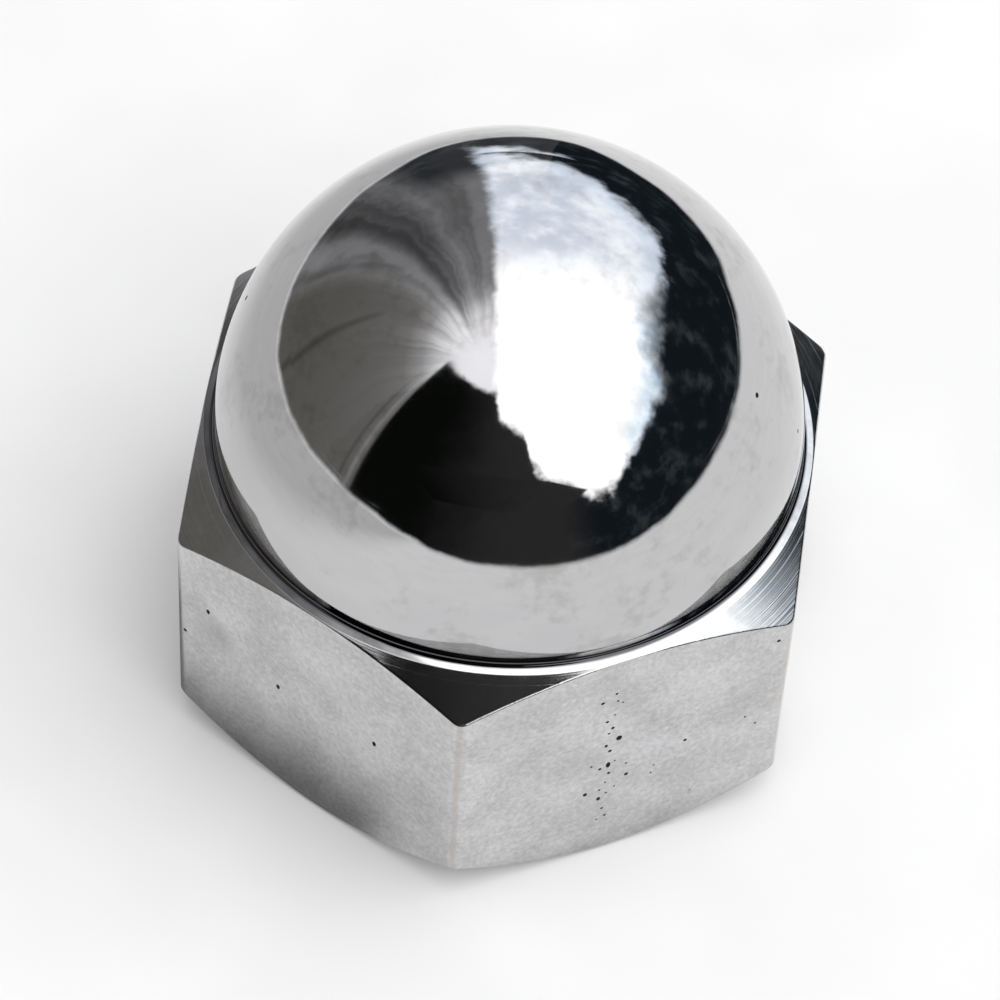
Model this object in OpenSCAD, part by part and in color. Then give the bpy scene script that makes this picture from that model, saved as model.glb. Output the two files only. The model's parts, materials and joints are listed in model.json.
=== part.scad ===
// Domed cap nut for the end of a steering column, turned from hexagon bar and
// bright plated. It is one solid: a hexagon with turned ends, a low skirt that
// rises into a half ball, and a blind tapped hole from below.
// Millimetres, +Z up. The origin is the centre of the bearing face.

/* [Hexagon] */
// Width across the flats, for a 15/16 inch spanner
across_flats = 23.8; // [20:0.1:30]
// Height of the hexagon, from the bearing face to the lip under the dome
hex_h = 12.4; // [9:0.1:18]
// Radius that polishing has put on the six upright corners
corner_r = 0.6; // [0.2:0.1:1.5]
// Slope of the top chamfer, down from the level
top_slope = 30; // [15:1:40]
// Slope of the bottom chamfer, up from the level
foot_slope = 43; // [20:1:50]
// How far inside the flats the bearing face ends
foot_inset = 0.2; // [0:0.05:0.6]

/* [Dome] */
// Step from the middle of a flat in to the side of the dome
dome_step = 0.45; // [0.2:0.05:2]
// Straight skirt below the half ball
skirt_h = 0.45; // [0.3:0.05:4]
// Level lip round the foot of the dome, out to the top chamfer
lip_w = 0.4; // [0.3:0.05:1.2]
// Fillet between the lip and the skirt
fillet_r = 0.15; // [0.05:0.05:0.25]

/* [Tapped hole] */
// Outside diameter of the thread, 5/8 inch
thread_d = 15.875; // [12:0.125:17]
// Pitch of the thread, 18 turns to the inch
thread_pitch = 1.41; // [1:0.01:2]
// How much wider than the thread the mouth opens
mouth_extra = 0.7; // [0.2:0.1:1.5]
// Angle between the sides of the countersunk mouth
mouth_angle = 90; // [60:5:120]
// Width of the relief groove where the thread ends
relief_w = 2.4; // [1:0.1:3.5]
// Depth of the relief groove outside the thread
relief_depth = 0.15; // [0.05:0.05:0.5]
// Angle of the drill's point
drill_angle = 118; // [90:2:140]
// Metal left between the drill's point and the top of the dome
crown_wall = 3.6; // [2:0.1:6]

/* [Hidden] */
$fn = 96;
plate_colour = [0.78, 0.78, 0.79];

sides = 6;
side_angle = 360 / sides;
flat_r = across_flats / 2;
corner_centre_r = (flat_r - corner_r) / cos(side_angle / 2);
// Cuts start this far outside the metal
clear = 1;
// The rounds stand this proud of the flats, so that they cross and don't just touch
weld = 0.0001;
blank_r = corner_centre_r + corner_r + clear;

dome_r = flat_r - dome_step;
lip_r = dome_r + lip_w;
ball_z = hex_h + skirt_h;
top_z = ball_z + dome_r;
foot_r = flat_r - foot_inset;

// A 60 degree thread is five eighths as deep as the sharp triangle of its pitch
thread_triangle = thread_pitch * cos(30);
thread_share = 5 / 8;
bore_r = thread_d / 2 - thread_share * thread_triangle;
mouth_r = (thread_d + mouth_extra) / 2;
mouth_h = (mouth_r - bore_r) / tan(mouth_angle / 2);
relief_r = thread_d / 2 + relief_depth;
point_z = top_z - crown_wall;
drill_z = point_z - bore_r / tan(drill_angle / 2);
relief_z = drill_z - relief_w;

// The bar's section: straight flats that run into a round at each corner
module bar_section() {
    round_places = [for (i = [0:sides - 1]) i * side_angle + side_angle / 2];
    polygon([
        for (a = round_places, side = [-1, 1])
            corner_centre_r * [cos(a), sin(a)]
            + corner_r * [cos(a + side * side_angle / 2), sin(a + side * side_angle / 2)]
    ]);
    for (a = round_places)
        rotate(a) translate([corner_centre_r, 0]) circle(r = corner_r + weld);
}

// What the lathe leaves of the bar: a chamfer at each end
module turned_ends() {
    foot_rise = (blank_r - foot_r) * tan(foot_slope);
    top_fall = (blank_r - lip_r) * tan(top_slope);
    rotate_extrude()
        polygon([
            [0, 0],
            [foot_r, 0],
            [blank_r, foot_rise],
            [blank_r, hex_h - top_fall],
            [lip_r, hex_h],
            [0, hex_h]
        ]);
}

module hexagon() {
    intersection() {
        linear_extrude(height = hex_h) bar_section();
        turned_ends();
    }
}

// Half section of the dome: ball, skirt and the fillet at its foot
module dome_section() {
    intersection() {
        translate([0, ball_z]) circle(r = dome_r);
        translate([0, ball_z]) square(dome_r);
    }
    square([dome_r, ball_z]);
    translate([0, hex_h]) difference() {
        square([dome_r + fillet_r, fillet_r]);
        translate([dome_r + fillet_r, fillet_r]) circle(r = fillet_r);
    }
}

module dome() {
    rotate_extrude() dome_section();
}

// The hole: countersunk mouth, tapping bore, relief groove and drill point
module tapped_hole() {
    rotate_extrude()
        polygon([
            [0, -clear],
            [mouth_r, -clear],
            [mouth_r, 0],
            [bore_r, mouth_h],
            [bore_r, relief_z],
            [relief_r, relief_z],
            [relief_r, drill_z],
            [bore_r, drill_z],
            [0, point_z]
        ]);
}

module domed_nut() {
    color(plate_colour)
        difference() {
            union() {
                hexagon();
                dome();
            }
            tapped_hole();
        }
}

domed_nut();
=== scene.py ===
# %% [markdown]
# # A bright plated domed cap nut
#
# This lesson dresses the nut that holds a steering wheel on its column. The
# solid is already built; here it gets its rounded edges, its thread, its pits and
# its plating. The solid's frame is loaded first, and everything is measured from
# it, in metres.

# %% Load the frame
import json
import math
from math import cos, pi, radians, sin, tan

import bmesh
import bpy
from mathutils import Matrix, Vector


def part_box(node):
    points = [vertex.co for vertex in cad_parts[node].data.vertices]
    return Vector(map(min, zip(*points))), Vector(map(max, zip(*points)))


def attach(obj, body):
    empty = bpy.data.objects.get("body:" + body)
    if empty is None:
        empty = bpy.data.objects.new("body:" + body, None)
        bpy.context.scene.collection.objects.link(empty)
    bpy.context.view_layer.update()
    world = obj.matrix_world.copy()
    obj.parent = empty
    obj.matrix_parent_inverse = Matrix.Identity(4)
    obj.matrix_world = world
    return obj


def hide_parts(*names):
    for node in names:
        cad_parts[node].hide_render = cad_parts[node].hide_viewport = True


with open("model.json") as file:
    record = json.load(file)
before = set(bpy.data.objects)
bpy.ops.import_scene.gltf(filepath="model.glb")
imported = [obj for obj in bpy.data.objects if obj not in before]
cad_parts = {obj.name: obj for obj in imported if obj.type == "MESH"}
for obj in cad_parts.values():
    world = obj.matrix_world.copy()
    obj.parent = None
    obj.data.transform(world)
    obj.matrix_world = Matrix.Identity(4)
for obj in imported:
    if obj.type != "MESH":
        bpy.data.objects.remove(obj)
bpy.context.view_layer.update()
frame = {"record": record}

# %% [markdown]
# ## Sizes
#
# What the frame can tell is read from it: the box of the solid gives the width
# across the flats and the height, and the record gives the tapped hole. The
# small steps, chamfers and fillets are named here, as the turner's drawing has
# them, and the rest follows from them.

# %% Sizes of the nut
MM = 0.001
NODE = "domed_nut"
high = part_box(NODE)[1]
hole = next(m for m in frame["record"]["mounts"] if m["name"] == "tapped_hole")

FLAT_R = high.x
TOTAL_H = high.z
CORNER_R = 0.6 * MM
CORNER_CENTRE_R = (FLAT_R - CORNER_R) / cos(radians(30))

DOME_STEP = 0.45 * MM
DOME_R = FLAT_R - DOME_STEP
BALL_Z = TOTAL_H - DOME_R
SKIRT_H = 0.45 * MM
HEX_H = BALL_Z - SKIRT_H
LIP_WIDTH = 0.4 * MM
LIP_R = DOME_R + LIP_WIDTH
FILLET_R = 0.2 * MM
TOP_SLOPE = radians(30)
LIP_SLOPE = radians(15)
LIP_TOP = HEX_H + (LIP_R - DOME_R) * tan(LIP_SLOPE)
FOOT_SLOPE = radians(43)
FOOT_STEP = 0.2 * MM
FOOT_R = FLAT_R - FOOT_STEP

THREAD_R = 15.875 / 2 * MM
PITCH = 1.41 * MM
BORE_R = hole["dims"]["r_mm"] * MM
MOUTH_STEP = 0.35 * MM
MOUTH_R = THREAD_R + MOUTH_STEP
MOUTH_H = MOUTH_R - BORE_R
RELIEF_Z = MOUTH_H + hole["dims"]["length_mm"] * MM
RELIEF_H = 2.4 * MM
DRILL_Z = RELIEF_Z + RELIEF_H
RELIEF_STEP = 0.15 * MM
RELIEF_R = THREAD_R + RELIEF_STEP
DRILL_HALF_ANGLE = radians(59)
POINT_Z = DRILL_Z + BORE_R / tan(DRILL_HALF_ANGLE)

print("across flats %.2f mm, height %.2f mm" % (2 * FLAT_R / MM, TOTAL_H / MM))
print("hexagon %.2f mm high, dome %.2f mm across" % (HEX_H / MM, 2 * DOME_R / MM))
print("drill point at %.2f mm" % (POINT_Z / MM))

# %% [markdown]
# ## The camera
#
# The view is from above one corner of the hexagon, a little to its right, and
# rolled a few degrees. A long lens keeps the upright edges nearly parallel. The
# camera is built from its three axes, so the roll is one plain rotation and no
# lens shift is needed.

# %% Camera
CAMERA_AZIMUTH = radians(4.72)
CAMERA_ELEVATION = radians(51.9)
CAMERA_ROLL = radians(3.64)
CAMERA_DISTANCE = 189.2 * MM
CAMERA_LENS = 173.2
CAMERA_CLIP = 1 * MM
AIM_HEIGHT = 9.52 * MM
AIM_RIGHT = -0.23 * MM
AIM_UP = -1.02 * MM


def way_to(azimuth, elevation):
    """The unit vector towards an azimuth, from -Y, and an elevation."""
    return Vector((cos(elevation) * sin(azimuth), -cos(elevation) * cos(azimuth), sin(elevation)))


def camera_axes():
    """Right, up and back of the camera, as unit vectors."""
    back = way_to(CAMERA_AZIMUTH, CAMERA_ELEVATION)
    right = Vector((cos(CAMERA_AZIMUTH), sin(CAMERA_AZIMUTH), 0))
    roll = Matrix.Rotation(CAMERA_ROLL, 3, back)
    return roll @ right, roll @ back.cross(right), back


def new_object(name, operator, **settings):
    """Adds an object by an operator, with nothing else selected, and names it."""
    bpy.ops.object.select_all(action="DESELECT")
    operator(**settings)
    made = bpy.context.object
    made.name = name
    return made


camera = new_object("camera", bpy.ops.object.camera_add)
right, up, back = camera_axes()
aim = Vector((0, 0, AIM_HEIGHT)) + right * AIM_RIGHT + up * AIM_UP
turn = Matrix((right, up, back)).transposed().to_4x4()
camera.matrix_world = Matrix.Translation(aim + back * CAMERA_DISTANCE) @ turn
camera.data.lens = CAMERA_LENS
camera.data.clip_start = CAMERA_CLIP
bpy.context.scene.camera = camera
bpy.context.scene.view_settings.view_transform = "Standard"
print("camera at", [round(c / MM, 1) for c in camera.location], "mm")

# %% [markdown]
# ## A section with soft edges
#
# No plated edge is sharp: polishing takes a tenth of a millimetre off it, and
# that narrow round is what catches the light. Each half section of the nut is a
# short list of corners, and this helper swaps every corner for an arc. It puts
# one more point close to each end of the arc, so that the smooth shading stops
# there and the flat beside it stays flat.

# %% Rounded section
ARC_STEPS = 4
GUARD = 0.03 * MM


def rounded(corners, share=1):
    """Points of a section whose corners (across, up, radius) are swapped for arcs."""
    points = []
    for i, (x, z, radius) in enumerate(corners):
        here = Vector((x, z))
        if radius == 0:
            points.append(here)
            continue
        before = (Vector(corners[i - 1][:2]) - here).normalized()
        after = (Vector(corners[i + 1][:2]) - here).normalized()
        half = before.angle(after) / 2
        size = radius * share
        reach = size / tan(half)
        centre = here + (before + after).normalized() * (size / sin(half))
        start = here + before * reach
        end = here + after * reach
        swing = (end - centre).angle_signed(start - centre)
        points.append(start + before * GUARD * share)
        for step in range(ARC_STEPS + 1):
            turned = Matrix.Rotation(swing * step / ARC_STEPS, 2)
            points.append(centre + turned @ (start - centre))
        points.append(end + after * GUARD * share)
    return points


corner_points = rounded([(0, 0, 0), (MM, 0, GUARD), (MM, MM, 0)])
print("one soft corner takes", len(corner_points) - 2, "points")

# %% [markdown]
# ## Places round the hexagon
#
# The nut will be lofted from rings that all have the same number of points.
# Round the hexagon they crowd into the six small corner rounds and spread over
# the flats. Round the hole and the dome they are evenly spaced, because a mirror
# shows the slightest change of spacing. The two kinds of ring meet on the narrow
# lip and on the bearing face, where a twist of the faces can't be seen.

# %% Places round the hexagon
SIDES = 6
ROUND_STEPS = 10
FLAT_STEPS = 40
RING = SIDES * (ROUND_STEPS + FLAT_STEPS)


def hexagon_outline():
    """Places round the hexagon, anticlockwise from the middle of the corner at -Y."""
    places = []
    for side in range(SIDES):
        corner = radians(-90 + 60 * side)
        centre = Vector((cos(corner), sin(corner))) * CORNER_CENTRE_R
        arc = []
        for step in range(ROUND_STEPS + 1):
            angle = corner + radians(-30 + 60 * step / ROUND_STEPS)
            arc.append(centre + Vector((cos(angle), sin(angle))) * CORNER_R)
        next_arc_start = Matrix.Rotation(radians(60), 2) @ arc[0]
        guard = (next_arc_start - arc[-1]).normalized() * GUARD
        start = arc[-1] + guard
        end = next_arc_start - guard
        steps = FLAT_STEPS - 2
        places += arc + [start.lerp(end, step / steps) for step in range(steps + 1)]
    middle = ROUND_STEPS // 2
    return places[middle:] + places[:middle]


outline = hexagon_outline()
even = [Matrix.Rotation(2 * pi * i / RING, 2) @ Vector((0, -1)) for i in range(RING)]
print(len(outline), "places on the hexagon,", len(even), "on a plain ring")

# %% [markdown]
# ## Rings of the hole, the hexagon and the dome
#
# The section runs from the shoulder of the drilled point down the hole, over the
# countersunk mouth, across the bearing face, up the side, over the lip and up the
# ball. The chamfers are cones, as a lathe cuts them, so they are widest at the
# six corners and almost nothing at the middle of a flat. There the edge rounds
# shrink with the chamfer, so that they never run into each other. Polishing has
# drawn the lip down a little on its outside, and that decides what it mirrors: a
# level lip would be one bright ring, while this one follows the room.

# %% Rings of the section
EDGE_R = 0.15 * MM
LIP_EDGE_R = 0.25 * MM
MOUTH_EDGE_R = 0.1 * MM
BALL_STEPS = 60
TOP_EDGE_HALF = (pi / 2 + TOP_SLOPE) / 2
LIP_EDGE_HALF = (pi - TOP_SLOPE + LIP_SLOPE) / 2
CHAMFER_NEED = EDGE_R / tan(TOP_EDGE_HALF) + LIP_EDGE_R / tan(LIP_EDGE_HALF) + 2 * GUARD
CHAMFER_FILL = 0.9


def round_rings(points):
    """Level rings round the axis, one for each (across, up) point."""
    return [[Vector((*(way * x), z)) for way in even] for x, z in points]


def side_section(place):
    """The hexagon's half section at one place: foot chamfer, side, top chamfer, lip."""
    across = place.length
    width = (across - LIP_R) / cos(TOP_SLOPE)
    share = min(1, CHAMFER_FILL * width / CHAMFER_NEED)
    corners = [
        (MOUTH_R, 0, 0),
        (FOOT_R, 0, EDGE_R),
        (across, (across - FOOT_R) * tan(FOOT_SLOPE), EDGE_R),
        (across, HEX_H - (across - LIP_R) * tan(TOP_SLOPE), EDGE_R),
        (LIP_R, HEX_H, LIP_EDGE_R),
        (DOME_R, LIP_TOP, 0),
    ]
    return rounded(corners, share)[1:-1]


def hexagon_rings():
    """Rings whose places follow the hexagon."""
    sections = [side_section(place) for place in outline]
    ways = [place.normalized() for place in outline]
    return [
        [Vector((*(way * section[row].x), section[row].y)) for way, section in zip(ways, sections)]
        for row in range(len(sections[0]))
    ]


hole_section = rounded([
    (RELIEF_R, DRILL_Z, 0),
    (RELIEF_R, RELIEF_Z, 0),
    (BORE_R, RELIEF_Z, 0),
    (BORE_R, MOUTH_H, 0),
    (MOUTH_R, 0, MOUTH_EDGE_R),
    (FOOT_R, 0, 0),
])[:-1]
skirt_section = rounded([
    (LIP_R, HEX_H, 0),
    (DOME_R, LIP_TOP, FILLET_R),
    (DOME_R, BALL_Z, 0),
])[1:-1]
latitudes = [radians(90 * i / BALL_STEPS) for i in range(BALL_STEPS)]
ball_section = [Vector((DOME_R * cos(a), BALL_Z + DOME_R * sin(a))) for a in latitudes]

rings = round_rings(hole_section) + hexagon_rings() + round_rings(skirt_section + ball_section)
print(len(rings), "rings of", RING, "points")

# %% [markdown]
# ## The finishes
#
# One plating covers the nut, but each surface was worked differently before it
# went into the bath: the dome was mopped to a mirror, the flats were ground and
# mopped, the chamfers still have the lathe's lines, the thread took little metal
# and stays dull, and the pits hold dirt. The five materials are named here and
# get their nodes further on. Giving each cutter its own material lets it leave
# that material on the faces that it cuts.

# %% Finishes
finishes = {}
for finish_name in ("mirror_plate", "flat_plate", "turned_plate", "tapped_steel", "pit_dirt"):
    finishes[finish_name] = bpy.data.materials.new(finish_name)
print("finishes:", ", ".join(finishes))

# %% [markdown]
# ## Lofting the nut
#
# A hexagon cut from a cylinder and chamfered with a Boolean would leave ragged
# faces in the mirror. A loft keeps every face in neat rows: a circle is added at
# the shoulder of the drilled point and extruded once for each ring, and the new
# edge loop is moved to its places. The last loop at each end is merged to a
# point: the top of the dome, and the point that the drill left.

# %% Loft
SEAM = radians(0.01)


def in_order(verts):
    """Vertices round the axis, anticlockwise from -Y."""
    return sorted(verts, key=lambda v: (math.atan2(v.co.x, -v.co.y) + SEAM) % (2 * pi))


def extrude_to(mesh, places):
    """Extrudes the selected edge loop and moves the new one to its places."""
    bpy.ops.mesh.extrude_region_move()
    sheet = bmesh.from_edit_mesh(mesh)
    for vert, place in zip(in_order([v for v in sheet.verts if v.select]), places):
        vert.co = place
    bmesh.update_edit_mesh(mesh)


def close_to_point(mesh, height):
    """Extrudes the selected edge loop and merges the new one to a point on the axis."""
    extrude_to(mesh, [Vector((0, 0, height))] * RING)
    bpy.ops.mesh.merge(type="CENTER")


nut = new_object(
    "plated_nut", bpy.ops.mesh.primitive_circle_add,
    vertices=RING, radius=BORE_R, location=(0, 0, DRILL_Z))
bpy.ops.object.transform_apply(location=True)
bpy.ops.object.mode_set(mode="EDIT")
bpy.ops.mesh.select_all(action="SELECT")
for ring in rings:
    extrude_to(nut.data, ring)
close_to_point(nut.data, TOTAL_H)

bpy.ops.mesh.select_mode(type="EDGE")
bpy.ops.mesh.select_all(action="DESELECT")
bpy.ops.mesh.select_non_manifold()
close_to_point(nut.data, POINT_Z)
bpy.ops.mesh.select_all(action="SELECT")
bpy.ops.mesh.normals_make_consistent(inside=False)
bpy.ops.object.mode_set(mode="OBJECT")
print("lofted nut:", len(nut.data.polygons), "faces")

# %% [markdown]
# ## Which finish goes where
#
# The finish follows the surface, so it is chosen by place. The hole is what lies
# inside the mouth and well below the ball's skin. The ball, the skirt and the lip
# are one mirror, and the flats are what stands upright below the lip. All the
# rest is turned: the two chamfers and the bearing face.

# %% Finish of each face
TOUCH = 0.01 * MM
UPRIGHT = 0.5
SKIN = 1 * MM


def finish_of(face):
    """The finish that a face of the loft takes."""
    centre = face.center
    across = math.hypot(centre.x, centre.y)
    in_ball = (centre - Vector((0, 0, BALL_Z))).length < DOME_R - SKIN
    if across < MOUTH_R + TOUCH and (in_ball or centre.z < HEX_H):
        return "tapped_steel"
    if centre.z > HEX_H - TOUCH:
        return "mirror_plate"
    if abs(face.normal.z) < UPRIGHT:
        return "flat_plate"
    return "turned_plate"


for material in finishes.values():
    nut.data.materials.append(material)
slots = list(finishes)
for face in nut.data.polygons:
    face.material_index = slots.index(finish_of(face))
for slot_index, slot_name in enumerate(slots):
    count = sum(face.material_index == slot_index for face in nut.data.polygons)
    print(slot_name, "on", count, "faces")

# %% [markdown]
# ## The thread
#
# The thread is cut as a tap cuts it. A tooth one pitch long is drawn point by
# point, with 60 degree flanks and a narrow flat at its crest, and the Screw
# modifier winds it round the axis for as many turns as the hole is long. Two
# bisects square off the ends of this tap, and a Boolean takes it out of the nut.
# Its core is thinner than the bore, and it ends inside the relief groove, so that
# only the teeth cut metal.

# %% Tap
TURNS = 12
RUN_IN = 2
TURN_STEPS = 96
CORE_STEP = 0.25 * MM
CORE_R = BORE_R - CORE_STEP
CREST = PITCH / 16
FLANK_ANGLE = radians(30)
FLANK_RISE = (THREAD_R - CORE_R) * tan(FLANK_ANGLE)
TAP_OVER = 1 * MM
TAP_START = -TAP_OVER
TAP_END = RELIEF_Z + TAP_OVER
WELD = 0.001 * MM
TOOTH = [
    (CORE_R, -PITCH / 2),
    (CORE_R, -CREST - FLANK_RISE),
    (THREAD_R, -CREST),
    (THREAD_R, CREST),
    (CORE_R, CREST + FLANK_RISE),
    (CORE_R, PITCH / 2),
]


def square_off(height, upper):
    """Cuts the tap level at a height, drops one side and fills the cut."""
    bpy.ops.mesh.select_all(action="SELECT")
    bpy.ops.mesh.bisect(
        plane_co=(0, 0, height),
        plane_no=(0, 0, 1),
        use_fill=True,
        clear_outer=upper,
        clear_inner=not upper,
        threshold=WELD,
    )


tap = new_object("tap", bpy.ops.mesh.primitive_plane_add, size=MM, enter_editmode=True)
bpy.ops.mesh.select_mode(type="VERT")
bpy.ops.mesh.select_all(action="SELECT")
bpy.ops.mesh.merge(type="CENTER")
bpy.ops.mesh.select_all(action="SELECT")
first_z = TAP_START - RUN_IN * PITCH
bpy.ops.transform.translate(value=(TOOTH[0][0], 0, first_z + TOOTH[0][1]))
for (x, z), (next_x, next_z) in zip(TOOTH, TOOTH[1:]):
    step = (next_x - x, 0, next_z - z)
    bpy.ops.mesh.extrude_region_move(TRANSFORM_OT_translate={"value": step})
bpy.ops.object.mode_set(mode="OBJECT")
screw = tap.modifiers.new("turns", "SCREW")
screw.axis = "Z"
screw.steps = screw.render_steps = TURN_STEPS
screw.iterations = TURNS + 2 * RUN_IN
screw.screw_offset = PITCH
bpy.ops.object.modifier_apply(modifier="turns")
bpy.ops.object.mode_set(mode="EDIT")
bpy.ops.mesh.select_all(action="SELECT")
bpy.ops.mesh.remove_doubles(threshold=WELD)
square_off(TAP_START, upper=False)
square_off(TAP_END, upper=True)
bpy.ops.mesh.select_all(action="SELECT")
bpy.ops.mesh.normals_make_consistent(inside=False)
bpy.ops.object.mode_set(mode="OBJECT")
tap.data.materials.append(finishes["tapped_steel"])
print("tap:", len(tap.data.polygons), "faces, up to", round(TAP_END / MM, 2), "mm")

# %% [markdown]
# ## Cutting with a Boolean
#
# The nut takes two cuts, the tap and the pits, so one helper does both. The exact
# solver keeps thin slivers true, and the cutter's own material goes with it onto
# the new faces.

# %% Cut
def cut(piece, cutter):
    """Takes the cutter out of the piece and throws the cutter away."""
    bpy.ops.object.select_all(action="DESELECT")
    piece.select_set(True)
    bpy.context.view_layer.objects.active = piece
    boolean = piece.modifiers.new("cut", "BOOLEAN")
    boolean.operation = "DIFFERENCE"
    boolean.solver = "EXACT"
    boolean.material_mode = "TRANSFER"
    boolean.object = cutter
    bpy.ops.object.modifier_apply(modifier="cut")
    bpy.data.objects.remove(cutter)
    print("after the cut:", len(piece.data.polygons), "faces")


cut(nut, tap)

# %% [markdown]
# ## Pits in the plating
#
# Bright plating shows every pinhole of the steel under it. Two flats have them:
# one has a slanting trail, the other a few single ones, and the dome has four by
# its edge. Each is a small ball, squashed along the surface's normal and sunk
# into it. They are set out in millimetres on the surface: along a flat from its
# middle and up from the bearing face, or by azimuth and elevation on the dome.

# %% Pits
PIT_SINK = 0.4
PIT_DETAIL = 2
# Along the flat, up, radius and stretch of each pit, in millimetres and times
RIGHT_FLAT_PITS = [
    (-0.13, 7.38, 0.14, 1.2), (-0.49, 5.76, 0.11, 1.8), (-0.47, 6.68, 0.09, 1.0), (-0.44, 8.19, 0.09, 1.0),
    (-0.70, 8.70, 0.08, 1.0), (-0.96, 10.03, 0.09, 1.0), (-0.41, 10.40, 0.07, 1.0), (0.33, 4.73, 0.10, 1.0),
    (-0.78, 3.60, 0.10, 1.3), (-1.37, 4.17, 0.10, 1.2), (2.75, 5.79, 0.09, 1.0), (5.28, 6.06, 0.06, 1.0),
    (5.76, 5.42, 0.06, 1.0), (6.31, 10.54, 0.09, 1.0), (-0.33, 9.90, 0.06, 1.0), (-0.11, 9.71, 0.05, 1.0),
    (-0.40, 9.03, 0.05, 1.0), (-0.58, 7.88, 0.06, 1.0), (-0.65, 7.09, 0.08, 1.3), (-0.22, 5.92, 0.05, 1.0),
    (0.28, 5.49, 0.06, 1.0), (-0.83, 5.64, 0.08, 1.0), (-1.21, 5.98, 0.06, 1.0), (-0.43, 5.18, 0.08, 1.0),
    (-0.55, 4.61, 0.05, 1.0), (-0.77, 4.19, 0.06, 1.0), (-0.47, 3.86, 0.06, 1.0), (-0.14, 4.16, 0.05, 1.0),
    (-0.59, 2.86, 0.07, 1.0), (-0.44, 2.31, 0.07, 1.0), (-0.78, 2.18, 0.05, 1.0), (1.40, 4.27, 0.05, 1.0),
    (1.50, 4.74, 0.05, 1.0),
]
LEFT_FLAT_PITS = [
    (-5.32, 8.30, 0.10, 1.6), (-1.83, 6.41, 0.10, 1.6), (2.91, 6.83, 0.10, 1.6), (-6.51, 6.11, 0.10, 1.0),
]
# Azimuth and elevation in degrees, then radius and stretch
DOME_PITS = [
    (76.6, 32.5, 0.12, 1.0),
    (85.7, 13.3, 0.09, 1.0),
    (-92.7, 24.6, 0.10, 1.4),
    (-100.7, 16.7, 0.10, 1.2),
]


def add_pit(place, normal, radius, stretch):
    """A small ball sunk into the surface, flattened along its normal."""
    size = radius * MM
    bpy.ops.mesh.primitive_ico_sphere_add(
        subdivisions=PIT_DETAIL,
        radius=size,
        location=place - normal * size * PIT_SINK,
        rotation=normal.to_track_quat("Z", "Y").to_euler(),
        scale=(1, stretch, 1),
    )
    return bpy.context.object


def flat_pits(azimuth, pits):
    """The pits of the flat whose normal has this azimuth from -Y."""
    normal = Vector((sin(azimuth), -cos(azimuth), 0))
    along = Vector((cos(azimuth), sin(azimuth), 0))
    return [
        add_pit(normal * FLAT_R + along * x * MM + Vector((0, 0, z * MM)), normal, radius, stretch)
        for x, z, radius, stretch in pits
    ]


def dome_pits(pits):
    """The pits of the dome, by the azimuth and elevation of its normal."""
    made = []
    for azimuth, elevation, radius, stretch in pits:
        normal = way_to(radians(azimuth), radians(elevation))
        made.append(add_pit(Vector((0, 0, BALL_Z)) + normal * DOME_R, normal, radius, stretch))
    return made


bpy.ops.object.select_all(action="DESELECT")
pits = flat_pits(radians(30), RIGHT_FLAT_PITS)
pits += flat_pits(radians(-30), LEFT_FLAT_PITS)
pits += dome_pits(DOME_PITS)
for pit in pits:
    pit.select_set(True)
bpy.context.view_layer.objects.active = pits[0]
bpy.ops.object.join()
pit_cutter = bpy.context.object
bpy.ops.object.transform_apply(location=True, rotation=True, scale=True)
pit_cutter.data.materials.append(finishes["pit_dirt"])
print(len(pits), "pits")
cut(nut, pit_cutter)

# %% [markdown]
# ## Shading the nut
#
# The arcs turn a few degrees a step, so everything that turns less than this
# angle is shaded smooth, and the thread's flanks and the pits' rims stay crisp.

# %% Smooth shading
SMOOTH_ANGLE = radians(30)
bpy.ops.object.select_all(action="DESELECT")
nut.select_set(True)
bpy.context.view_layer.objects.active = nut
bpy.ops.object.shade_smooth_by_angle(angle=SMOOTH_ANGLE)
triangles = sum(len(face.vertices) - 2 for face in nut.data.polygons)
print("plated nut:", triangles, "triangles, materials", [m.name for m in nut.data.materials])

# %% [markdown]
# ## Building nodes in code
#
# Every material below is made of the same few steps: add a node, set its inputs,
# link some of them. One helper does it: an input may be a plain value or the
# output of another node, and a node that follows another goes into its tree. The
# others name what the materials use most, such as a sum, a smooth range, a cloud
# of noise or a bump. The last ones start and place a node group, which is how an
# effect is built once and then put into several materials with its own values.

# %% Node helpers
def add(tree, kind, inputs=None, **settings):
    """Adds a node, with its settings, its plain input values and its links."""
    node = tree.nodes.new(kind)
    for setting, value in settings.items():
        setattr(node, setting, value)
    for socket, value in (inputs or {}).items():
        if isinstance(value, bpy.types.NodeSocket):
            tree.links.new(value, node.inputs[socket])
        else:
            node.inputs[socket].default_value = value
    return node


def after(kind, inputs, **settings):
    """Adds a node in the tree of the outputs that it is given, and gives its own outputs."""
    tree = next(value.id_data for value in inputs.values() if isinstance(value, bpy.types.NodeSocket))
    return add(tree, kind, inputs, **settings).outputs


def maths(operation, *values):
    """The result of one Math node."""
    return after("ShaderNodeMath", dict(enumerate(values)), operation=operation)[0]


def times(first, second):
    """The product of two values."""
    return maths("MULTIPLY", first, second)


def plus(first, second):
    """The sum of two values."""
    return maths("ADD", first, second)


def minus(first, second):
    """The first value less the second."""
    return maths("SUBTRACT", first, second)


def length_of(x, y):
    """The length of a level line, from its two parts."""
    return maths("SQRT", plus(maths("POWER", x, 2.0), maths("POWER", y, 2.0)))


def vector_maths(operation, *vectors):
    """Both outputs of one Vector Math node, Vector and Value."""
    return after("ShaderNodeVectorMath", dict(enumerate(vectors)), operation=operation)


def parts_of(vector):
    """The X, Y and Z of a vector."""
    return after("ShaderNodeSeparateXYZ", {"Vector": vector})


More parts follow.
